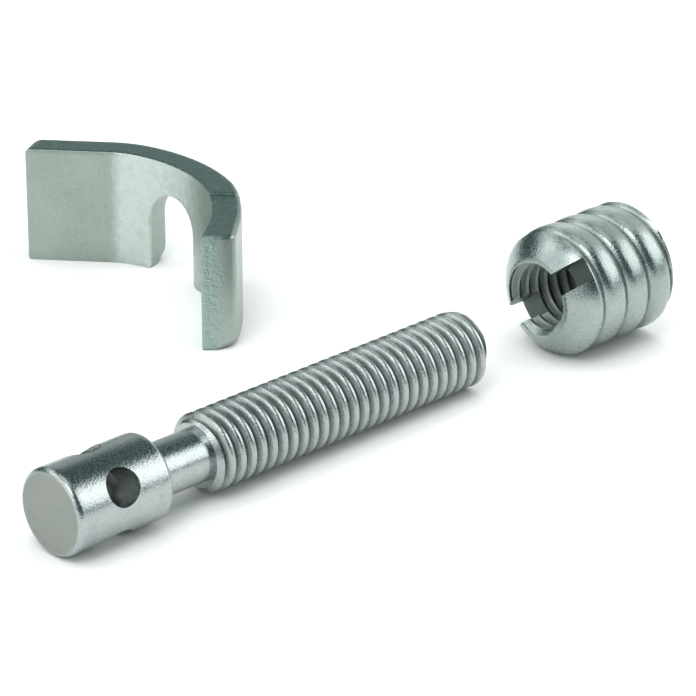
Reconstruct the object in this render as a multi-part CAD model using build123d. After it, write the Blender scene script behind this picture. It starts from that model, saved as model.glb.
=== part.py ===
from build123d import *
from math import atan2, cos, degrees, pi, radians, sin
import os

# Cabinet connector for pulling two panels together: three loose pieces of zinc-plated steel.
# The bolt has an M6 thread at one end, and at the other a neck and a cylinder head with two crossed holes.
# The hook plate is dropped over the bolt's neck inside a round recess of the first panel.
# The sleeve is screwed into the second panel, and the bolt is turned into its M6 bore with a bar in the head.
# Lengths are in millimetres. +Z is up and z = 0 is the table that the pieces lie on, +X runs along the bolt
# from its head, and the origin is the middle of the ground that the three pieces cover together.

# Metric thread that the bolt and the sleeve share
metric_size = 6.0
metric_pitch = 1.0
crest_allowance = 0.1

# Bolt
bolt_length = 40.0
head_diameter = 6.5
head_length = 8.5
head_front_bevel = 0.25
head_rear_rounding = 0.35
neck_diameter = 4.0
neck_length = 4.7
thread_start_bevel = 0.55
thread_end_bevel = 0.35
cross_hole_diameter = 2.85
cross_hole_roll = 60.0

# Hook plate, a punched strip that is bent upright round its slot
plate_thickness = 2.5
plate_height = 9.5
tab_length = 6.6
tab_bend_radius = 6.0
tab_bend_angle = 23.2
hook_radius = 12.3
hook_angle = 67.5
tip_length = 3.2
slot_clearance = 1.2
slot_headroom = 2.65
slot_from_bend = 3.65
plate_edge_roll = 0.45

# Sleeve, with a coarse wood thread outside
sleeve_diameter = 10.0
sleeve_length = 10.0
nose_diameter = 6.3
nose_length = 1.8
nose_bulge = 0.2
sleeve_rear_bevel = 0.4
bore_bevel = 0.25
wood_thread_pitch = 2.4
wood_thread_depth = 0.6
wood_valley_start = 0.75
ridge_steps = 16
driver_slot_width = 1.8
driver_slot_depth = 2.2
driver_slot_turn = 49.0
driver_slot_tilt = 6.5

# How the pieces lie beside each other
sleeve_gap = 7.1
sleeve_side_step = 0.86
sleeve_turn = -1.4
plate_step = 30.5
plate_gap = 12.9
plate_turn = -49.3

# Sizes that follow from the ones above
thread_diameter = metric_size - crest_allowance
bore_diameter = metric_size - metric_pitch
slot_width = neck_diameter + slot_clearance

# How far a cutter runs past what it cuts, and how near two points count as touching
cut_margin = 1.0
touching = 0.001


def turned(outline):
    """A solid of revolution about +Z, from a closed outline with radius along X and height along Z."""
    return revolve(Plane.XZ * make_face(outline), Axis.Z)


def laid_down(piece, roll=0.0, dip=0.0):
    """Rolls an upright piece about +Z, then lays it along +X with its far end dipped by some degrees."""
    return Rot(0, 90 + dip, 0) * Rot(0, 0, roll) * piece


def make_bolt():
    """The turned bolt, head face on z = 0, its M6 thread left plain at the crest size."""
    head_r = head_diameter / 2
    neck_r = neck_diameter / 2
    thread_r = thread_diameter / 2
    neck_end = head_length + neck_length
    rim_low = (head_r, head_length - head_rear_rounding)
    rim_mid_step = head_rear_rounding * (1 - cos(pi / 4))
    rim_mid = (head_r - rim_mid_step, head_length - rim_mid_step)
    rim_top = (head_r - head_rear_rounding, head_length)
    rear_rim = ThreePointArc(rim_low, rim_mid, rim_top)
    shank = Polyline(
        rim_top,
        (neck_r, head_length),
        (neck_r, neck_end),
        (thread_r - thread_start_bevel, neck_end),
        (thread_r, neck_end + thread_start_bevel),
        (thread_r, bolt_length - thread_end_bevel),
        (thread_r - thread_end_bevel, bolt_length),
        (0, bolt_length),
        (0, 0),
        (head_r - head_front_bevel, 0),
        (head_r, head_front_bevel),
        rim_low,
    )
    bolt = turned(rear_rim + shank)
    drill = Rot(0, 90, 0) * Cylinder(cross_hole_diameter / 2, head_diameter + 2 * cut_margin)
    for turn in (0, 90):
        bolt -= Pos(0, 0, head_length / 2) * Rot(0, 0, turn) * drill
    return bolt


def lay_bolt(bolt):
    """Lays the bolt as it rests: on the rear rim of its wider head and on the end of its thread."""
    rim_at = head_length - head_rear_rounding
    tip_at = bolt_length - thread_end_bevel
    drop = (head_diameter - thread_diameter) / 2
    dip = atan2(drop, tip_at - rim_at)
    lift = rim_at * sin(dip) + head_diameter / 2 * cos(dip)
    return Pos(0, 0, lift) * laid_down(bolt, cross_hole_roll, degrees(dip))


def plan_run(stand_off):
    """The strip's line seen from above, at some distance behind its hollow front face."""
    tab = Line((0, stand_off), (tab_length, stand_off))
    bend = JernArc(tab @ 1, tab % 1, tab_bend_radius + stand_off, -tab_bend_angle)
    hook = JernArc(bend @ 1, bend % 1, hook_radius + stand_off, -hook_angle)
    tip = Line(hook @ 1, hook @ 1 + (hook % 1) * tip_length)
    return tab, bend, hook, tip


def slot_outline(plane, widening):
    """The slot's outline, round at the top and open below, its width that at the front face times widening."""
    half_front = slot_width / 2
    half = half_front * widening
    shoulder = plate_height - slot_headroom - half_front
    arch = EllipticalCenterArc((0, shoulder), half, half_front, start_angle=0, arc_size=180)
    legs = Polyline((-half, shoulder), (-half, -cut_margin), (half, -cut_margin), (half, shoulder))
    return plane * make_face(arch + legs)


def make_slot(hook):
    """The slot's cutter, its side walls aimed at the hook's axis, as a slot punched before bending has."""
    centre = hook.arc_center
    turn = slot_from_bend / hook_radius
    along = (hook % 0).rotate(Axis.Z, -degrees(turn))
    outward = along.rotate(Axis.Z, 90)
    sections = []
    for reach in (hook_radius - cut_margin, hook_radius + plate_thickness + cut_margin):
        plane = Plane(origin=centre + outward * reach, x_dir=along, z_dir=along.cross(Vector(0, 0, 1)))
        sections.append(slot_outline(plane, reach / hook_radius))
    return loft(sections, ruled=True)


def make_hook_plate():
    """The bent plate standing on its lower edge, its front face from the origin along +X and round to -Y."""
    front = plan_run(0)
    back = plan_run(plate_thickness)
    ends = [Line(front[0] @ 0, back[0] @ 0), Line(front[3] @ 1, back[3] @ 1)]
    strip = extrude(make_face([*front, *back, *ends]), plate_height)
    plate = strip - make_slot(front[2])
    back_line = Wire([*back])
    seams = [back[1] @ 0, back[1] @ 1, back[2] @ 1]
    rolled = []
    for edge in plate.edges():
        middle = edge @ 0.5
        foot = Vector(middle.X, middle.Y, 0)
        on_back = back_line.distance_to(foot) < touching
        on_seam = min((foot - seam).length for seam in seams) < touching
        if on_back and not on_seam:
            rolled.append(edge)
    return fillet(rolled, plate_edge_roll)


def wood_thread():
    """A rod with one right-hand ridge of rounded crests that meet in sharp valleys, longer than the sleeve."""
    root = sleeve_diameter / 2 - wood_thread_depth
    rod_length = sleeve_length + 2 * cut_margin
    valley = -360 * (wood_valley_start + cut_margin) / wood_thread_pitch
    points = []
    for step in range(ridge_steps + 1):
        share = step / ridge_steps
        radius = root + wood_thread_depth * sin(pi * share)
        angle = radians(valley + 360 * share)
        points.append((radius * cos(angle), radius * sin(angle)))
    section = Face(Wire([Spline(*points)]))
    twist = 360 * rod_length / wood_thread_pitch
    rod = Solid.extrude_linear_with_rotation(section, (0, 0, 0), (0, 0, rod_length), twist)
    return Pos(0, 0, -cut_margin) * rod


def make_sleeve():
    """The sleeve, its nose with the screwdriver slot on z = 0, its M6 bore left plain at the tapping size."""
    outer = sleeve_diameter / 2
    nose = nose_diameter / 2
    bore = bore_diameter / 2
    nose_mid = ((outer + nose + nose_bulge) / 2, (nose_length - nose_bulge) / 2)
    nose_round = ThreePointArc((nose, 0), nose_mid, (outer, nose_length))
    nose_end = nose_round @ 1 + (nose_round % 1) * cut_margin
    limits = turned(
        nose_round
        + Polyline(
            nose_round @ 1,
            nose_end,
            (outer + cut_margin, nose_end.Y),
            (outer + cut_margin, sleeve_length - sleeve_rear_bevel - cut_margin),
            (outer - sleeve_rear_bevel, sleeve_length),
            (0, sleeve_length),
            (0, 0),
            (nose, 0),
        )
    )
    tapped = turned(
        Polyline(
            (0, -cut_margin),
            (bore + bore_bevel + cut_margin, -cut_margin),
            (bore, bore_bevel),
            (bore, sleeve_length - bore_bevel),
            (bore + bore_bevel + cut_margin, sleeve_length + cut_margin),
            (0, sleeve_length + cut_margin),
            close=True,
        )
    )
    slot = Box(sleeve_diameter + 2 * cut_margin, driver_slot_width, 2 * driver_slot_depth)
    slot = Rot(0, 0, driver_slot_turn) * Rot(0, -driver_slot_tilt, 0) * slot
    return (wood_thread() & limits) - tapped - slot


bolt = lay_bolt(make_bolt())
sleeve_spot = Pos(bolt_length + sleeve_gap, -sleeve_side_step, sleeve_diameter / 2)
sleeve = sleeve_spot * Rot(0, 0, sleeve_turn) * laid_down(make_sleeve())
plate = Rot(0, 0, plate_turn) * make_hook_plate()
plate_box = plate.bounding_box()
plate = Pos(plate_step - plate_box.min.X, head_diameter / 2 + plate_gap - plate_box.min.Y, 0) * plate

pieces = {"cross_hole_bolt": bolt, "screw_in_sleeve": sleeve, "hook_plate": plate}
ground = Compound(list(pieces.values())).bounding_box()
to_origin = Pos(-ground.center().X, -ground.center().Y, 0)

os.makedirs("parts", exist_ok=True)
for node, piece in pieces.items():
    export_step(to_origin * piece, f"parts/{node}.step")
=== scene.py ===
import math
from collections import namedtuple
from functools import partial
import bmesh
import bpy
import numpy as np
from mathutils import Matrix, Vector


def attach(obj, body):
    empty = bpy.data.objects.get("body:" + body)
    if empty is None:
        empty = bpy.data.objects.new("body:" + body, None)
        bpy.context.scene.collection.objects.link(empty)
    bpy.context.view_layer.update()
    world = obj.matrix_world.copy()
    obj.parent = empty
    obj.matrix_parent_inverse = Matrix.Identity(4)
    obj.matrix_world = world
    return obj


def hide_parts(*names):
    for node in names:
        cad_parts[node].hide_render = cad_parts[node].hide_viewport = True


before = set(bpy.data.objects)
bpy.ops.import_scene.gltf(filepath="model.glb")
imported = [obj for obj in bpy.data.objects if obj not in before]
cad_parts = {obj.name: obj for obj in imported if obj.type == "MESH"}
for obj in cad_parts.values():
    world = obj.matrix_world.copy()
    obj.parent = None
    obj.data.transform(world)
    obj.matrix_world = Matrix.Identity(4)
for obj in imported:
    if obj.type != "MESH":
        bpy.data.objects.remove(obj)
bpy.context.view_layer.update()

# ---- Camera
# A long lens from the front left and above, as the set was photographed, level from side to side.
# Its focal length is given in pixels of the photograph.
photo_width = 696
focal_pixels = 4000.0
camera_at = Vector((-0.18182, -0.206963, 0.12909))
camera_looks = Vector((0.6271, 0.6540, -0.4231))
lens = bpy.data.cameras.new("camera")
lens.sensor_width = 36.0
lens.lens = focal_pixels * lens.sensor_width / photo_width
lens.clip_start = 0.01
camera = bpy.data.objects.new("camera", lens)
camera_turn = camera_looks.to_track_quat("-Z", "Y").to_matrix().to_4x4()
camera.matrix_world = Matrix.Translation(camera_at) @ camera_turn
bpy.context.scene.collection.objects.link(camera)
bpy.context.scene.camera = camera
bpy.context.scene.view_settings.view_transform = "Standard"

# ---- Bolt
# The bolt that draws the two panels together: a cylinder head with two crossed bar holes, a thin neck and
# an M6 thread. Free-cutting steel turned from bar and drilled, its thread rolled, then plated with bright zinc.
# Lengths are in millimetres in every section, and each piece is scaled to metres when it is finished.
MM = 0.001
bolt_length = 40.0
head_radius = 3.25
head_length = 8.5
face_rounding = 0.42
rear_rounding = 0.35
neck_radius = 2.0
thread_at = 13.2
crest_radius = 2.95
thread_depth = 0.59
thread_pitch = 1.0
thread_valley_at = 0.1
thread_start_bevel = 0.55
thread_end_bevel = 0.25
bar_hole_radius = 1.425
bar_hole_rim = 0.09
bolt_roll = 60.0
bolt_dip = 0.5457
bolt_face_centre = Vector((-28.5904, -17.7746, 3.3275))

# The plating: its patterns in noise waves per metre, its sawn face, and its dark specks
drift_scale = 260.0
stain_scale = 420.0
ragged_scale = 1500.0
mark_scale = 2600.0
ring_scale = 5200.0
ring_stretch = 0.03
sawn_pale = (0.34, 0.35, 0.32)
sawn_deep = (0.30, 0.335, 0.31)
sawn_gloss = 0.55
speck_most = 0.45
speck_shade = 0.45

# Points of a mesh that lie nearer than a weld become one, and faces thinner than the sliver go. Halfway along
# the rod's grid is 0, and its last row lies beyond last_row_from.
seam_weld = 0.0004
weld = 0.0012
sliver = 0.0003
last_row_from = 0.49999

# A place where the plating differs, or where shade or a highlight is painted: the mesh attribute that says
# where, how far it goes at most, its tint, its roughness, how ragged its edge is, and how many millimetres deep
# its own relief is
Mark = namedtuple("Mark", "label most tint gloss ragged depth", defaults=(0.0, 0.0))


def evaluated(piece):
    """Turns a piece with its modifiers into a plain mesh."""
    graph = bpy.context.evaluated_depsgraph_get()
    mesh = bpy.data.meshes.new_from_object(piece.evaluated_get(graph))
    piece.modifiers.clear()
    piece.data = mesh
    return piece


def new_piece(name, verts, faces):
    """A mesh object in the scene, from its points and its faces."""
    mesh = bpy.data.meshes.new(name)
    mesh.from_pydata([tuple(v) for v in verts], [], faces)
    piece = bpy.data.objects.new(name, mesh)
    bpy.context.scene.collection.objects.link(piece)
    return piece


def lathe(name, outline, columns=144):
    """A closed turned body from (radius, height) points that start and end on the axis."""
    verts = [(0, 0, outline[0][1])]
    faces = []
    turns = [2 * math.pi * k / columns for k in range(columns)]
    for radius, height in outline[1:-1]:
        verts += [(radius * math.cos(a), radius * math.sin(a), height) for a in turns]
    verts.append((0, 0, outline[-1][1]))
    rings = len(outline) - 2
    last = len(verts) - 1
    top = 1 + (rings - 1) * columns
    for k in range(columns):
        n = (k + 1) % columns
        faces.append((0, 1 + n, 1 + k))
        faces.append((top + k, top + n, last))
        for ring in range(rings - 1):
            low = 1 + ring * columns
            high = low + columns
            faces.append((low + k, low + n, high + n, high + k))
    return new_piece(name, verts, faces)


def turned_by(angle, axis):
    """A turn by some degrees round an axis."""
    return Matrix.Rotation(math.radians(angle), 4, axis)


def worked(piece, tool, way="DIFFERENCE"):
    """Cuts a piece with a tool body, or welds the two, and takes the tool away."""
    step = piece.modifiers.new("step", "BOOLEAN")
    step.operation = way
    step.solver = "MANIFOLD"
    step.object = tool
    evaluated(piece)
    bpy.data.objects.remove(tool)


def feed(tree, socket, value):
    """Gives a node's input another node's output, or a fixed value."""
    if isinstance(value, bpy.types.NodeSocket):
        tree.links.new(value, socket)
    else:
        socket.default_value = value


def reckoned(tree, way, first, second=0.0, third=0.0, clamp=False):
    """What a Math node makes of up to three numbers or outputs."""
    node = tree.nodes.new("ShaderNodeMath")
    node.operation = way
    node.use_clamp = clamp
    for socket, value in zip(node.inputs, (first, second, third)):
        feed(tree, socket, value)
    return node.outputs[0]


def thread_tree(name, ridge):
    """A node tree that grows a rod with one right-hand ridge round it. Its rows follow the helix. The ridge's
    form over one pitch is the curve through the ridge points, 0 in the valley and 1 on the crest."""
    tree = bpy.data.node_groups.new(name, "GeometryNodeTree")
    tree.interface.new_socket(name="Mesh", in_out="OUTPUT", socket_type="NodeSocketGeometry")
    for label in ("Crest Radius", "Depth", "Pitch", "Length", "Valley Shift", "Near Radius", "Near Rise",
                  "Near Bulge", "Far Radius", "Far Rise"):
        tree.interface.new_socket(name=label, in_out="INPUT", socket_type="NodeSocketFloat")
    for label in ("Columns", "Rows Per Pitch"):
        tree.interface.new_socket(name=label, in_out="INPUT", socket_type="NodeSocketInt")
    tree.interface.new_socket(name="Material", in_out="INPUT", socket_type="NodeSocketMaterial")
    given = tree.nodes.new("NodeGroupInput").outputs
    put = tree.links.new
    calc = partial(reckoned, tree)

    # A flat grid of which X goes once round the rod, and Y along it from end to end
    step = calc("DIVIDE", given["Pitch"], given["Rows Per Pitch"])
    whole = calc("ADD", given["Length"], given["Pitch"])
    rows = calc("ADD", calc("CEIL", calc("DIVIDE", whole, step)), 2.0)
    grid = tree.nodes.new("GeometryNodeMeshGrid")
    put(calc("ADD", given["Columns"], 1.0), grid.inputs["Vertices X"])
    put(calc("ADD", rows, 1.0), grid.inputs["Vertices Y"])
    spot = tree.nodes.new("ShaderNodeSeparateXYZ")
    put(tree.nodes.new("GeometryNodeInputPosition").outputs[0], spot.inputs[0])
    turn = calc("ADD", spot.outputs["X"], 0.5)
    along = calc("ADD", spot.outputs["Y"], 0.5)

    # Each row climbs by a pitch in its turn, and is held between the rod's ends
    climb = calc("SUBTRACT", calc("MULTIPLY", calc("SUBTRACT", turn, 1.0), given["Pitch"]), step)
    height = calc("MULTIPLY_ADD", along, calc("MULTIPLY", rows, step), climb)
    height = calc("MINIMUM", calc("MAXIMUM", height, 0.0), given["Length"])

    # The ridge's form at that height
    phase = calc("SUBTRACT", calc("DIVIDE", height, given["Pitch"]), turn)
    phase = calc("FRACT", calc("SUBTRACT", phase, given["Valley Shift"]))
    form = tree.nodes.new("ShaderNodeFloatCurve")
    curve = form.mapping.curves[0]
    curve.points[0].location = ridge[0]
    curve.points[1].location = ridge[-1]
    for point in ridge[1:-1]:
        curve.points.new(*point)
    form.mapping.update()
    put(phase, form.inputs["Value"])
    valley = calc("SUBTRACT", given["Crest Radius"], given["Depth"])
    radius = calc("MULTIPLY_ADD", form.outputs[0], given["Depth"], valley)

    # Both ends narrow to their own radius, the near one with a bulge
    near_share = calc("DIVIDE", height, given["Near Rise"], clamp=True)
    swell = calc("MULTIPLY", near_share, calc("SUBTRACT", 1.0, near_share))
    swell = calc("MULTIPLY", swell, given["Near Bulge"])
    near_share = calc("MULTIPLY_ADD", swell, 4.0, near_share)
    near_span = calc("SUBTRACT", given["Crest Radius"], given["Near Radius"])
    near = calc("MULTIPLY_ADD", near_share, near_span, given["Near Radius"])
    far_share = calc("DIVIDE", calc("SUBTRACT", given["Length"], height), given["Far Rise"], clamp=True)
    far_span = calc("SUBTRACT", given["Crest Radius"], given["Far Radius"])
    far = calc("MULTIPLY_ADD", far_share, far_span, given["Far Radius"])
    radius = calc("MINIMUM", radius, calc("MINIMUM", near, far))

    # The first and the last row meet on the axis and close the rod
    inside = calc("LESS_THAN", calc("ABSOLUTE", calc("SUBTRACT", along, 0.5)), last_row_from)
    radius = calc("MULTIPLY", radius, inside)
    angle = calc("MULTIPLY", turn, 2 * math.pi)
    place = tree.nodes.new("ShaderNodeCombineXYZ")
    put(calc("MULTIPLY", radius, calc("COSINE", angle)), place.inputs["X"])
    put(calc("MULTIPLY", radius, calc("SINE", angle)), place.inputs["Y"])
    put(height, place.inputs["Z"])
    fill = {"Position": place.outputs[0], "Distance": seam_weld, "Material": given["Material"]}
    flow = grid.outputs["Mesh"]
    for kind in ("GeometryNodeSetPosition", "GeometryNodeMergeByDistance", "GeometryNodeRealizeInstances",
                 "GeometryNodeSetMaterial"):
        node = tree.nodes.new(kind)
        put(flow, node.inputs["Geometry"])
        flow = node.outputs["Geometry"]
        for label in fill:
            if label in node.inputs:
                feed(tree, node.inputs[label], fill[label])
    put(flow, tree.nodes.new("NodeGroupOutput").inputs[0])
    return tree


def grown(name, tree, sizes):
    """A piece grown by a node tree, with the sizes given by the names of the tree's inputs."""
    piece = new_piece(name, [], [])
    grower = piece.modifiers.new("grower", "NODES")
    grower.node_group = tree
    for item in tree.interface.items_tree:
        if item.in_out == "INPUT" and item.name in sizes:
            grower[item.identifier] = sizes[item.name]
    return evaluated(piece)


def noise(tree, vector, scale, detail=2.0, rough=0.5):
    """Cloudy noise round 0.5."""
    node = tree.nodes.new("ShaderNodeTexNoise")
    node.inputs["Scale"].default_value = scale
    node.inputs["Detail"].default_value = detail
    node.inputs["Roughness"].default_value = rough
    tree.links.new(vector, node.inputs["Vector"])
    return node.outputs["Fac"]


def ranged(tree, value, low, high, out_low, out_high):
    """A value brought from one range to another, and held inside it."""
    node = tree.nodes.new("ShaderNodeMapRange")
    for socket, number in zip(("From Min", "From Max", "To Min", "To Max"), (low, high, out_low, out_high)):
        node.inputs[socket].default_value = number
    tree.links.new(value, node.inputs["Value"])
    return node.outputs["Result"]


def mixed(tree, share, first, second):
    """A colour between two, by a share that is an output."""
    node = tree.nodes.new("ShaderNodeMix")
    node.data_type = "RGBA"
    tree.links.new(share, node.inputs["Factor"])
    for socket, value in ((node.inputs[6], first), (node.inputs[7], second)):
        feed(tree, socket, value if isinstance(value, bpy.types.NodeSocket) else (*value, 1.0))
    return node.outputs[2]


def bumped(tree, height, depth, strength=1.0, under=None):
    """A normal that follows a height pattern some millimetres deep, on top of another normal."""
    node = tree.nodes.new("ShaderNodeBump")
    node.inputs["Distance"].default_value = depth * MM
    feed(tree, node.inputs["Strength"], strength)
    tree.links.new(height, node.inputs["Height"])
    if under is not None:
        tree.links.new(under, node.inputs["Normal"])
    return node.outputs["Normal"]


def zinc(name, pale, deep, smooth, dull, grain, grain_depth, axis_at=None, axis_turn=(0, 0, 0), ring_depth=0.0,
         face_to=0.0, marks=()):
    """Zinc plating: a metal whose tint and gloss drift softly, with a fine grain. A turned piece has the fine
    rings of the lathe round its own axis, which is X of the turned pattern, and a matt sawn face up to face_to
    along it. Marks are the places where the plating differs, or where shade or a highlight is painted."""
    material = bpy.data.materials.new(name)
    material.use_nodes = True
    tree = material.node_tree
    shader = tree.nodes["Principled BSDF"]
    shader.inputs["Metallic"].default_value = 1.0
    here = tree.nodes.new("ShaderNodeTexCoord").outputs["Object"]
    drift = noise(tree, here, drift_scale, 3.0, 0.6)
    specks = noise(tree, here, grain, 3.0, 0.6)
    tint = mixed(tree, ranged(tree, drift, 0.3, 0.7, 0.0, 1.0), deep, pale)
    speck_tint = tuple(c * speck_shade for c in deep)
    tint = mixed(tree, ranged(tree, specks, 0.30, 0.46, speck_most, 0.0), tint, speck_tint)
    gloss = mixed(tree, ranged(tree, specks, 0.3, 0.7, 0.0, 1.0), (smooth,) * 3, (dull,) * 3)
    relief = bumped(tree, specks, grain_depth)
    if axis_at is not None:
        centre = tree.nodes.new("ShaderNodeMapping")
        centre.vector_type = "TEXTURE"
        centre.inputs["Location"].default_value = axis_at
        centre.inputs["Rotation"].default_value = axis_turn
        tree.links.new(here, centre.inputs["Vector"])
        stretch = tree.nodes.new("ShaderNodeMapping")
        stretch.inputs["Scale"].default_value = (1.0, ring_stretch, ring_stretch)
        tree.links.new(centre.outputs[0], stretch.inputs["Vector"])
        rings = noise(tree, stretch.outputs[0], ring_scale, 4.0, 0.7)
        relief = bumped(tree, rings, ring_depth, under=relief)
        if face_to:
            split = tree.nodes.new("ShaderNodeSeparateXYZ")
            tree.links.new(centre.outputs[0], split.inputs[0])
            face = ranged(tree, split.outputs["X"], 0.0, face_to * MM, 1.0, 0.0)
            stain = ranged(tree, noise(tree, here, stain_scale), 0.35, 0.65, 0.0, 1.0)
            tint = mixed(tree, face, tint, mixed(tree, stain, sawn_pale, sawn_deep))
            gloss = mixed(tree, face, gloss, (sawn_gloss,) * 3)
    for mark in marks:
        label = tree.nodes.new("ShaderNodeAttribute")
        label.attribute_name = mark.label
        share = label.outputs["Fac"]
        if mark.ragged:
            fray = noise(tree, here, ragged_scale, 4.0, 0.7)
            frayed = reckoned(tree, "ADD", ranged(tree, fray, 0.3, 0.7, -mark.ragged, mark.ragged), share)
            share = reckoned(tree, "MINIMUM", frayed, reckoned(tree, "MULTIPLY", share, 3.0))
        share = ranged(tree, share, 0.0, 1.0, 0.0, mark.most)
        tint = mixed(tree, share, tint, mark.tint)
        gloss = mixed(tree, share, gloss, (mark.gloss,) * 3)
        if mark.depth:
            relief = bumped(tree, noise(tree, here, mark_scale, 3.0, 0.7), mark.depth, share, relief)
    tree.links.new(tint, shader.inputs["Base Color"])
    tree.links.new(gloss, shader.inputs["Roughness"])
    tree.links.new(relief, shader.inputs["Normal"])
    return material


def marked(piece, label, amount_of):
    """Writes an attribute from 0 to 1 at each corner of each face, by its place and the face's normal."""
    mesh = piece.data
    places = np.zeros(len(mesh.vertices) * 3, np.float32)
    mesh.vertices.foreach_get("co", places)
    corners = np.zeros(len(mesh.loops), np.int32)
    mesh.loops.foreach_get("vertex_index", corners)
    normals = np.zeros(len(mesh.polygons) * 3, np.float32)
    mesh.polygons.foreach_get("normal", normals)
    counts = np.zeros(len(mesh.polygons), np.int32)
    mesh.polygons.foreach_get("loop_total", counts)
    place = places.reshape(-1, 3)[corners]
    facing = np.repeat(normals.reshape(-1, 3), counts, axis=0)
    mark = mesh.attributes.new(label, "FLOAT", "CORNER")
    mark.data.foreach_set("value", np.clip(amount_of(place, facing), 0, 1).astype(np.float32))


def off_axis(place, facing):
    """How far places lie off a turned piece's axis, and how squarely their faces look away from it."""
    radius = np.hypot(place[:, 0], place[:, 1])
    outward = (facing[:, 0] * place[:, 0] + facing[:, 1] * place[:, 1]) / np.maximum(radius, 0.1)
    return radius, outward


def finished(piece, matrix, material, node, sharp=38.0):
    """Cleans a piece, brings it from its own millimetres to its place, smooths it, hangs it on the root body
    and hides the CAD part that it stands for. Edges that turn by more than sharp degrees stay crisp."""
    mesh = piece.data
    clean = bmesh.new()
    clean.from_mesh(mesh)
    bmesh.ops.remove_doubles(clean, verts=clean.verts, dist=weld)
    bmesh.ops.dissolve_degenerate(clean, edges=clean.edges, dist=sliver)
    bmesh.ops.triangulate(clean, faces=[face for face in clean.faces if len(face.verts) > 4])
    clean.to_mesh(mesh)
    clean.free()
    mesh.transform(Matrix.Scale(MM, 4) @ matrix)
    mesh.materials.clear()
    mesh.materials.append(material)
    mesh.shade_smooth()
    mesh.set_sharp_from_angle(angle=math.radians(sharp))
    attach(piece, "root")
    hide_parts(node)


# Besides the rolled thread's own tint and relief, the bolt has a near-black painted shade in its bar holes and
# thread valleys
bolt_zinc = zinc(
    "bolt zinc", pale=(0.47, 0.50, 0.495), deep=(0.37, 0.42, 0.415), smooth=0.14, dull=0.30, grain=6200.0,
    grain_depth=0.02, axis_at=tuple(bolt_face_centre * MM), axis_turn=(0.0, math.radians(bolt_dip), 0.0),
    ring_depth=0.004, face_to=0.04,
    marks=(Mark("rolled", 0.75, (0.40, 0.435, 0.43), 0.30, depth=0.03),
           Mark("painted_shade", 0.9, (0.02, 0.025, 0.023), 0.6)))

head_rows = 24
neck_rows = 12
neck_sunk = 1.0
swings = np.radians(np.linspace(0, 90, 6))
bolt_outline = [(0.0, 0.0), (head_radius * 0.5, 0.0)]
for swing in swings:
    bolt_outline.append((head_radius - face_rounding * (1 - math.sin(swing)),
                         face_rounding * (1 - math.cos(swing))))
for height in np.linspace(face_rounding, head_length - rear_rounding, head_rows)[1:-1]:
    bolt_outline.append((head_radius, float(height)))
for swing in swings:
    bolt_outline.append((head_radius - rear_rounding * (1 - math.cos(swing)),
                         head_length - rear_rounding * (1 - math.sin(swing))))
for height in np.linspace(head_length, thread_at + neck_sunk, neck_rows):
    bolt_outline.append((neck_radius, float(height)))
bolt_outline.append((0.0, thread_at + neck_sunk))
bolt = lathe("bolt", bolt_outline)

drill_reach = 5
drill_outline = [(0.0, -drill_reach)] + [(bar_hole_radius, z) for z in range(-drill_reach, drill_reach + 1)]
drill_outline.append((0.0, drill_reach))
hole_centre = Matrix.Translation((0, 0, head_length / 2))
for turn in (0, 90):
    drill = lathe("drill", drill_outline, 96)
    drill.data.transform(hole_centre @ turned_by(turn, "Z") @ turned_by(90, "Y"))
    worked(bolt, drill)
rims = bolt.modifiers.new("rims", "BEVEL")
rims.width = bar_hole_rim
rims.segments = 2
rims.limit_method = "ANGLE"
rims.angle_limit = math.radians(50)
evaluated(bolt)

fine_ridge = [(0.0, 0.0), (0.06, 0.08), (0.19, 0.48), (0.32, 0.89), (0.39, 1.0),
              (0.61, 1.0), (0.68, 0.89), (0.81, 0.48), (0.94, 0.08), (1.0, 0.0)]
fine_thread = thread_tree("fine thread", fine_ridge)
shank = grown("shank", fine_thread, {
    "Crest Radius": crest_radius, "Depth": thread_depth, "Pitch": thread_pitch,
    "Length": bolt_length - thread_at, "Valley Shift": thread_valley_at,
    "Near Radius": crest_radius - thread_start_bevel, "Near Rise": thread_start_bevel, "Near Bulge": 0.0,
    "Far Radius": crest_radius - thread_end_bevel, "Far Rise": thread_end_bevel,
    "Columns": 96, "Rows Per Pitch": 14})
shank.data.transform(Matrix.Translation((0, 0, thread_at)))
worked(bolt, shank, "UNION")

# Faces that look away from the axis by more than this are the head's own skin, or any piece's outer one
head_skin = 0.97
outer_skin = 0.2

# How much painted shade the holes and the thread's valleys have
painted_shade_margin = 0.3
hole_shade_at_rim = 0.12
hole_shade_per_mm = 0.28
valley_shade_from = 0.55
valley_shade_rise = 2.2


def bolt_painted_shade(place, facing):
    """Painted shade: the bar holes darken inwards from their rims, and the thread's valleys towards their
    roots.
    """
    radius, outward = off_axis(place, facing)
    in_hole = (np.abs(place[:, 2] - head_length / 2) < bar_hole_radius + painted_shade_margin) * (outward < head_skin)
    in_thread = (place[:, 2] > thread_at + painted_shade_margin) * (outward > outer_skin)
    down = (crest_radius - radius) / thread_depth
    return np.maximum(in_hole * (hole_shade_at_rim + hole_shade_per_mm * (head_radius - radius)),
                      in_thread * (down - valley_shade_from) * valley_shade_rise)


marked(bolt, "rolled", lambda place, facing: place[:, 2] > thread_at)
# Painted shade in the bar holes and the thread's valleys
marked(bolt, "painted_shade", bolt_painted_shade)
finished(bolt, Matrix.Translation(bolt_face_centre) @ turned_by(90 + bolt_dip, "Y") @ turned_by(bolt_roll, "Z"),
         bolt_zinc, "cross_hole_bolt")

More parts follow.
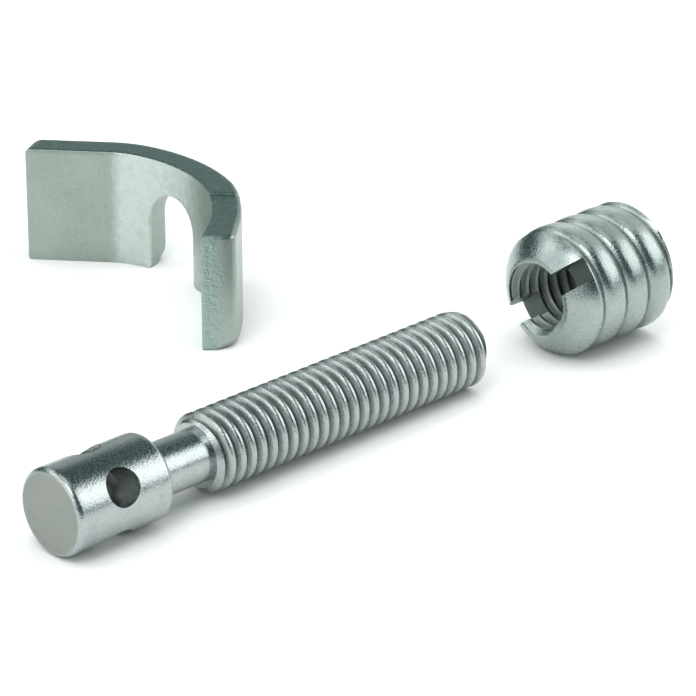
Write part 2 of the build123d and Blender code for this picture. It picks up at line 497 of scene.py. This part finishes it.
# ---- Sleeve
# The socket that is screwed into the other panel: a short steel tube with a coarse rounded wood thread outside,
# an M6 thread inside, and a slot sawn across its nose for a screwdriver. Turned and rolled, then plated.
sleeve_radius = 5.0
sleeve_length = 10.0
sleeve_rear_bevel = 0.4
wood_pitch = 2.4
wood_depth = 0.6
wood_valley_at = 0.75
nose_radius = 3.15
nose_length = 1.8
nose_bulge = 0.15
bore_radius = 2.5
bore_bevel = 0.28
tap_depth = 0.52
tap_valley_at = 0.35
tap_rise = 0.1
slot_width = 1.8
slot_depth = 2.2
slot_turn = 49.0
slot_tilt = 6.5
sleeve_turn = -1.4
sleeve_nose_centre = Vector((18.5096, -18.6346, 5.0))
# Its one mark is a near-black painted shade in the bore, the slot and the wood thread's valleys, with a relief
# of its own
sleeve_zinc = zinc(
    "sleeve zinc", pale=(0.39, 0.44, 0.43), deep=(0.31, 0.36, 0.35), smooth=0.17, dull=0.34, grain=6400.0,
    grain_depth=0.018, axis_at=tuple(sleeve_nose_centre * MM), axis_turn=(0.0, 0.0, math.radians(sleeve_turn)),
    ring_depth=0.012, marks=(Mark("painted_shade", 0.85, (0.02, 0.03, 0.028), 0.6, depth=0.08),))

wood_ridge = [(0.0, 0.0), (0.04, 0.30), (0.10, 0.60), (0.18, 0.81), (0.30, 0.95), (0.5, 1.0),
              (0.70, 0.95), (0.82, 0.81), (0.90, 0.60), (0.96, 0.30), (1.0, 0.0)]
sleeve = grown("sleeve", thread_tree("wood thread", wood_ridge), {
    "Crest Radius": sleeve_radius, "Depth": wood_depth, "Pitch": wood_pitch,
    "Length": sleeve_length, "Valley Shift": wood_valley_at / wood_pitch,
    "Near Radius": nose_radius, "Near Rise": nose_length, "Near Bulge": nose_bulge,
    "Far Radius": sleeve_radius - sleeve_rear_bevel, "Far Rise": sleeve_rear_bevel,
    "Columns": 128, "Rows Per Pitch": 24})

# The tap, the two countersinks and the saw that cut it, each running past it by the cut margin
cut_margin = 1.0
tap = grown("tap", fine_thread, {
    "Crest Radius": bore_radius + tap_depth, "Depth": tap_depth, "Pitch": thread_pitch,
    "Length": sleeve_length + 2 * cut_margin, "Valley Shift": tap_valley_at,
    "Near Radius": bore_radius, "Near Rise": tap_rise, "Near Bulge": 0.0,
    "Far Radius": bore_radius, "Far Rise": tap_rise,
    "Columns": 96, "Rows Per Pitch": 12})
tap.data.transform(Matrix.Translation((0, 0, -cut_margin)))
worked(sleeve, tap)
sink_past = 0.3
sink_reach = bore_radius + bore_bevel + cut_margin
nose_sink = [(0.0, -cut_margin), (sink_reach, -cut_margin),
             (bore_radius - sink_past, bore_bevel + sink_past), (0.0, bore_bevel + sink_past)]
rear_sink = [(radius, sleeve_length - height) for radius, height in reversed(nose_sink)]
for sink in (nose_sink, rear_sink):
    worked(sleeve, lathe("countersink", sink, 96))
saw_reach = sleeve_radius + cut_margin
saw_above = 2.5
saw = new_piece("saw", [(x, y, z) for x in (-saw_reach, saw_reach) for y in (-slot_width / 2, slot_width / 2)
                        for z in (-saw_above, slot_depth)],
                [(0, 1, 3, 2), (4, 6, 7, 5), (0, 4, 5, 1), (2, 3, 7, 6), (0, 2, 6, 4), (1, 5, 7, 3)])
saw.data.transform(turned_by(slot_turn, "Z") @ turned_by(-slot_tilt, "Y"))
worked(sleeve, saw)

# Where the bore, the slot and the wood thread's valleys begin, and how much painted shade they have
slot_across = np.array((-math.sin(math.radians(slot_turn)), math.cos(math.radians(slot_turn)), 0.0))
on_slot_wall = 0.01
bore_band = 0.7
mouth_depth = 0.3
slot_floor_from = 1.0
slot_floor_past = 0.8
looks_out_of_slot = 0.9
looks_across_slot = 0.95
bore_shade = 0.35
bore_shade_per_mm = 0.06
slot_floor_shade = 0.9
slot_wall_shade = 0.6
groove_shade = 0.8
groove_shade_from = 0.38
groove_shade_over = 0.22


def sleeve_painted_shade(place, facing):
    """Painted shade: the bore and its thread darken inwards, and the slot and the wood thread's valleys are
    painted dark.
    """
    radius, outward = off_axis(place, facing)
    height = place[:, 2]
    across = np.abs(place @ slot_across)
    in_bore = (radius < bore_radius + bore_band) * (outward < outer_skin) * (height > mouth_depth)
    on_floor = (across < slot_width / 2 + on_slot_wall) * (facing[:, 2] < -looks_out_of_slot)
    on_floor = on_floor * (height > slot_floor_from) * (height < slot_depth + slot_floor_past)
    on_wall = np.abs(across - slot_width / 2) < on_slot_wall
    on_wall = on_wall * (np.abs(facing @ slot_across) > looks_across_slot)
    in_groove = (height > nose_length) * (outward > outer_skin)
    groove_depth = (sleeve_radius - groove_shade_from - radius) / groove_shade_over
    return np.maximum.reduce((in_bore * (bore_shade + bore_shade_per_mm * height), on_floor * slot_floor_shade,
                              on_wall * slot_wall_shade, in_groove * groove_depth * groove_shade))


marked(sleeve, "painted_shade", sleeve_painted_shade)
finished(sleeve, Matrix.Translation(sleeve_nose_centre) @ turned_by(sleeve_turn, "Z") @ turned_by(90, "Y"),
         sleeve_zinc, "screw_in_sleeve")

# ---- Hook plate
# The claw that is dropped over the bolt's neck: a strip punched from 2.5 mm steel with a slot open below, then
# bent upright round the slot. The punch rolled its back edges over and left the end of the strip torn.
strip_thickness = 2.5
strip_height = 9.5
strip_corner = (2.7080, 22.3965)
strip_turn = -49.3
# The runs of its front face, each a length and the radius that it is bent to: tab, first bend, hook and end
strip_runs = ((6.6, None), (6.0 * math.radians(23.2), 6.0), (12.3 * math.radians(67.5), 12.3), (3.2, None))
strip_length = sum(run[0] for run in strip_runs)
slot_past_bend = 3.65
slot_headroom = 2.65
neck_slot_half = 2.6
slot_centre_at = strip_runs[0][0] + strip_runs[1][0] + slot_past_bend
slot_shoulder = strip_height - slot_headroom - neck_slot_half
edge_roll = 0.45
# At the crease the top edge drops by a small step, and past it both faces lie back by the bulge's amounts
crease_at = 18.8
crease_drop = 0.13
crease_slant = 0.3
crease_width = 0.12
bulge_at = (0.0, 17.5, 19.5, 21.5, 24.0, 25.5, 26.72)
bulge_front = (0.0, 0.0, -0.03, -0.13, -0.08, -0.17, -0.34)
bulge_back = (0.0, 0.0, -0.20, -0.33, -0.30, -0.27, -0.20)
# The strip's end is drawn longer in front than behind, below from the slot on and above only near the end
end_stretch = 0.7
foot_stretch_over = 2.5
top_stretch_from = 22.0
top_stretch_over = 4.5
back_stretch = 0.5


def along_strip(run, back, height):
    """Points of the bent strip, from the length along its front, the depth behind it, and the height."""
    run, back, height = (np.asarray(a, float).ravel() for a in np.broadcast_arrays(run, back, height))
    up = height / strip_height
    through = back / strip_thickness
    past_crease = np.clip((run - crease_at - crease_slant * back) / crease_width, 0, 1)
    height = height - crease_drop * up * past_crease
    back = back + np.interp(run, bulge_at, bulge_front) * (1 - through)
    back = back + np.interp(run, bulge_at, bulge_back) * through
    low = np.clip((run - slot_centre_at - neck_slot_half) / foot_stretch_over, 0, 1)
    high = np.clip((run - top_stretch_from) / top_stretch_over, 0, 1)
    run = run + end_stretch * ((1 - up) * low + up * high) * (1 - back_stretch * through)
    points = np.zeros((len(run), 3))
    points[:, 2] = height
    at = np.array(strip_corner)
    heading = math.radians(strip_turn)
    begin = 0.0
    for length, radius in strip_runs:
        here = run >= begin - 1e-9
        gone = (run - begin)[here]
        if radius is None:
            points[here, 0] = at[0] + gone * math.cos(heading) - back[here] * math.sin(heading)
            points[here, 1] = at[1] + gone * math.sin(heading) + back[here] * math.cos(heading)
            at = at + length * np.array((math.cos(heading), math.sin(heading)))
        else:
            centre = at + radius * np.array((math.sin(heading), -math.cos(heading)))
            swing = heading - gone / radius
            points[here, 0] = centre[0] - (radius + back[here]) * np.sin(swing)
            points[here, 1] = centre[1] + (radius + back[here]) * np.cos(swing)
            heading -= length / radius
            at = centre + radius * np.array((-math.sin(heading), math.cos(heading)))
        begin += length
    return points


def corner_run(start, end, radius_start, radius_end, stations):
    """Places along an edge, close together where a corner is rounded at each end."""
    arc = np.radians(np.linspace(0, 90, 9))
    first = start + radius_start
    return np.concatenate((start + radius_start * (1 - np.cos(arc)),
                           first + (end - radius_end - first) * stations[1:],
                           end - radius_end * (1 - np.cos(arc[::-1]))[1:]))


def corner_lift(runs, start, end, radius_start, radius_end):
    """How far a rounded corner at each end lifts off the edge at those places."""
    lift = np.zeros(len(runs))
    for away, radius in ((runs - start, radius_start), (end - runs, radius_end)):
        near = np.clip(radius - away, 0, radius)
        lift += radius - np.sqrt(radius ** 2 - near ** 2)
    return lift


# Where the mesh has its columns between the corners, closest at the crease
tab_stations = np.linspace(0, 1, 45)
leg_stations = np.concatenate((np.linspace(0, 0.28, 10), np.linspace(0.29, 0.40, 16), np.linspace(0.42, 1, 24)))
arch_columns = 41
lattice_rows = 13

# How round each corner of the punched blank is at the front face, and how much more it is at the back
tab_foot = (0.25, 0.5)
tab_top = (0.3, 0.9)
tab_at_slot = (0.22, 1.4)
leg_at_slot = (0.3, 0.9)
end_foot = (0.25, 1.5)
end_top = (0.14, 0.15)
end_drawn_in = 0.28
drawn_in_from = 0.5
roll_from = 0.45


def blank(inset, share):
    """The flat blank's lattice: two bands of columns, the upper one whole, the lower one open at the slot. Its
    corners are rounder at the back, where share is 1."""
    low_slot = slot_centre_at - neck_slot_half - inset
    high_slot = slot_centre_at + neck_slot_half + inset
    end = strip_length - inset - end_drawn_in * max(0.0, (share - drawn_in_from) / (1 - drawn_in_from)) ** 2
    roll = max(0.0, share - roll_from) / (1 - roll_from)
    at_tab, at_slot, at_leg, at_foot = (front + more * roll
                                        for front, more in (tab_foot, tab_at_slot, leg_at_slot, end_foot))
    over_tab, over_end = (front + more * share for front, more in (tab_top, end_top))
    tab_run = corner_run(inset, low_slot, over_tab, at_slot, tab_stations)
    leg_run = corner_run(high_slot, end, at_leg, at_foot, leg_stations)
    tab_lift = corner_lift(tab_run, inset, low_slot, at_tab, at_slot)
    leg_lift = corner_lift(leg_run, high_slot, end, at_leg, at_foot)
    arch = np.radians(np.linspace(180, 0, arch_columns))[1:-1]
    arch_run = slot_centre_at + (neck_slot_half + inset) * np.cos(arch)
    arch_low = slot_shoulder + (neck_slot_half + inset) * np.sin(arch)
    runs = np.concatenate((tab_run, arch_run, leg_run))
    top = strip_height - inset - corner_lift(runs, inset, end, over_tab, over_end)
    middle = np.concatenate((np.full(len(tab_run), slot_shoulder), arch_low,
                             np.full(len(leg_run), slot_shoulder)))
    rows = np.linspace(0, 1, lattice_rows)
    bands = [np.stack([np.stack((runs, middle + (top - middle) * row), 1) for row in rows], 1)]
    for run, lift in ((tab_run, tab_lift), (leg_run, leg_lift)):
        low = inset + lift
        bands.append(np.stack([np.stack((run, low + (slot_shoulder - low) * row), 1) for row in rows], 1))
    return bands


def lattice_index():
    """Numbers the lattice's points, shared ones once, and lists its faces and its outline in order."""
    upper, tab, leg = blank(0.0, 0.5)
    count = upper.shape[0] * upper.shape[1]
    number_upper = np.arange(count).reshape(upper.shape[:2])
    numbers = [number_upper]
    for band, columns in ((tab, slice(0, tab.shape[0])), (leg, slice(upper.shape[0] - leg.shape[0], None))):
        fresh = np.arange(count, count + band.shape[0] * (band.shape[1] - 1)).reshape(band.shape[0], -1)
        count += fresh.size
        numbers.append(np.concatenate((fresh, number_upper[columns, :1]), 1))
    faces = []
    for number in numbers:
        for i in range(number.shape[0] - 1):
            for j in range(number.shape[1] - 1):
                faces.append((number[i, j], number[i + 1, j], number[i + 1, j + 1], number[i, j + 1]))
    up, tab, leg = numbers
    n = tab.shape[0]
    m = leg.shape[0]
    border = [*tab[:, 0], *tab[-1, 1:], *up[n:-m, 0], *leg[0, ::-1], *leg[1:, 0], *leg[-1, 1:], *up[-1, 1:],
              *up[-2::-1, -1], *up[0, -2::-1], *tab[0, -2:0:-1]]
    return numbers, faces, border, count


lattice_numbers, lattice_faces, lattice_border, lattice_count = lattice_index()


def lattice_points(inset, share):
    """The lattice's points in the order of their numbers."""
    points = np.zeros((lattice_count, 2))
    for band, number in zip(blank(inset, share), lattice_numbers):
        points[number.ravel()] = band.reshape(-1, 2)
    return points


# The skins of the strip, each a depth behind the front face and an inset of its outline: the broken front edge,
# the punched edge, and the rolled back edge
front_skins = [(0.0, 0.05), (0.015, 0.015), (0.05, 0.0)]
edge_skins_from = 0.4
edge_skins = [(float(depth), 0.0) for depth in np.linspace(edge_skins_from, strip_thickness - edge_roll, 6)]
roll_skins = []
for swing in np.radians((15, 30, 45, 60, 75, 90)):
    roll_skins.append((strip_thickness - edge_roll * (1 - math.sin(swing)), edge_roll * (1 - math.cos(swing))))
skins = front_skins + edge_skins + roll_skins

# Where a highlight is painted on the hook's front over its bends, and how deep behind the front the strip's end
# is torn
highlight_at = (6.7, 7.6, 14.5, 17.0)
highlight_share = (0, 1, 0.9, 0)
torn_at = (0.0, 0.7, 1.7)
torn_share = (1, 0.9, 0)
front_band = 0.1
end_band = 0.3
top_band = 0.1

verts = []
faces = []
rings = []
bend_highlight = []
torn = []
shear_relief_and_shade = []
for number, (depth, inset) in enumerate(skins):
    points = lattice_points(inset, depth / strip_thickness)
    outermost = number in (0, len(skins) - 1)
    if not outermost:
        points = points[lattice_border]
    first = len(verts)
    verts += list(along_strip(points[:, 0], depth, points[:, 1]))
    on_edge = len(front_skins) - 1 <= number < len(skins) - len(roll_skins)
    at_end = points[:, 0] > strip_length - end_band
    at_top = points[:, 1] > strip_height - top_band
    # A painted highlight brightens the hook's front over its bends
    bend_highlight += list(np.interp(points[:, 0], highlight_at, highlight_share) * (depth < front_band))
    torn += list(at_end * on_edge * np.interp(depth, torn_at, torn_share))
    # The top edge has the shear's own relief and a painted shade that darkens it as an edge facing up
    shear_relief_and_shade += list(at_top * on_edge * 1.0)
    if outermost:
        faces += [tuple(first + k for k in (face if number == 0 else face[::-1])) for face in lattice_faces]
        rings.append([first + k for k in lattice_border])
    else:
        rings.append(list(range(first, first + len(lattice_border))))
for front, back in zip(rings, rings[1:]):
    for k in range(len(lattice_border)):
        n = (k + 1) % len(lattice_border)
        faces.append((front[k], back[k], back[n], front[n]))
plate = new_piece("hook_plate_steel", verts, [tuple(int(k) for k in face) for face in faces])
for label, amounts in (("bend_highlight", bend_highlight), ("torn", torn), ("shear_relief_and_shade", shear_relief_and_shade)):
    plate.data.attributes.new(label, "FLOAT", "POINT").data.foreach_set("value", amounts)
# Its marks: a painted highlight over the bends, the top edge's shear relief with a painted shade, and the torn
# end's own rough colour
plate_zinc = zinc(
    "plate zinc", pale=(0.375, 0.43, 0.39), deep=(0.31, 0.375, 0.335), smooth=0.30, dull=0.44, grain=6500.0,
    grain_depth=0.024,
    marks=(Mark("bend_highlight", 0.9, (0.54, 0.60, 0.57), 0.26, ragged=0.3),
           Mark("shear_relief_and_shade", 1.0, (0.13, 0.215, 0.20), 0.27, ragged=0.3, depth=0.05),
           Mark("torn", 1.0, (0.33, 0.44, 0.41), 0.42, ragged=0.5, depth=0.16)))
finished(plate, Matrix.Identity(4), plate_zinc, "hook_plate", sharp=50.0)

# ---- Floor and light
# A plain white table under an even top light. A large soft key stands to the right, boards and a strip at the
# back, left and front give the plating its bands, a small bright lamp its glints, and a card lights the sleeve.
floor_reach = 3
floor = new_piece("floor", [(-floor_reach, -floor_reach, 0), (floor_reach, -floor_reach, 0),
                            (floor_reach, floor_reach, 0), (-floor_reach, floor_reach, 0)], [(0, 1, 2, 3)])
paper = bpy.data.materials.new("white paper")
paper.use_nodes = True
paper_surface = paper.node_tree.nodes["Principled BSDF"].inputs
paper_surface["Base Color"].default_value = (0.9, 0.9, 0.9, 1)
paper_surface["Roughness"].default_value = 0.9
floor.data.materials.append(paper)
studio = bpy.data.worlds.new("studio")
studio.use_nodes = True
room = studio.node_tree.nodes["Background"].inputs
room["Color"].default_value = (0.55, 1.0, 0.98, 1)
room["Strength"].default_value = 0.12
bpy.context.scene.world = studio


def soft_light(name, azimuth, elevation, distance, size, size_up, glow, shiny=True, about=(0, 0, 0)):
    """A flat lamp that looks at a point, from a direction in degrees and a distance in metres. Glow is how
    bright its face is, and a lamp that isn't shiny stays out of reflections."""
    lamp = bpy.data.lights.new(name, "AREA")
    lamp.shape = "RECTANGLE"
    lamp.size = size
    lamp.size_y = size_up
    lamp.energy = glow * size * size_up * math.pi
    round_by = math.radians(azimuth)
    up_by = math.radians(elevation)
    towards = Vector((math.cos(round_by) * math.cos(up_by),
                      math.sin(round_by) * math.cos(up_by),
                      math.sin(up_by)))
    aim = (-towards).to_track_quat("-Z", "Y").to_matrix().to_4x4()
    light = bpy.data.objects.new(name, lamp)
    light.matrix_world = Matrix.Translation(Vector(about) + towards * distance) @ aim
    light.visible_glossy = shiny
    light.visible_camera = False
    bpy.context.scene.collection.objects.link(light)


soft_light("key", -42.0, 28.0, 1.0, 0.78, 0.72, 2.3)
soft_light("back board", 48.0, 17.0, 1.2, 0.75, 0.8, 0.46)
soft_light("left board", 165.0, 32.0, 1.2, 1.6, 1.1, 1.3)
soft_light("left strip", 172.0, 7.0, 0.9, 0.6, 0.16, 1.5)
soft_light("upper board", 105.0, 46.0, 1.2, 1.2, 0.6, 1.1)
soft_light("front board", -152.0, 22.0, 1.2, 0.5, 0.6, 0.6)
soft_light("glint", -156.0, 52.0, 1.2, 0.42, 0.42, 5.0)
soft_light("top", 0.0, 90.0, 1.2, 1.6, 1.6, 1.4, shiny=False)
soft_light("top board", 0.0, 90.0, 1.0, 0.72, 0.72, 1.1)
soft_light("card", 20.0, 42.0, 0.04, 0.06, 0.042, 0.85, about=(0.0245, -0.0187, 0.006))
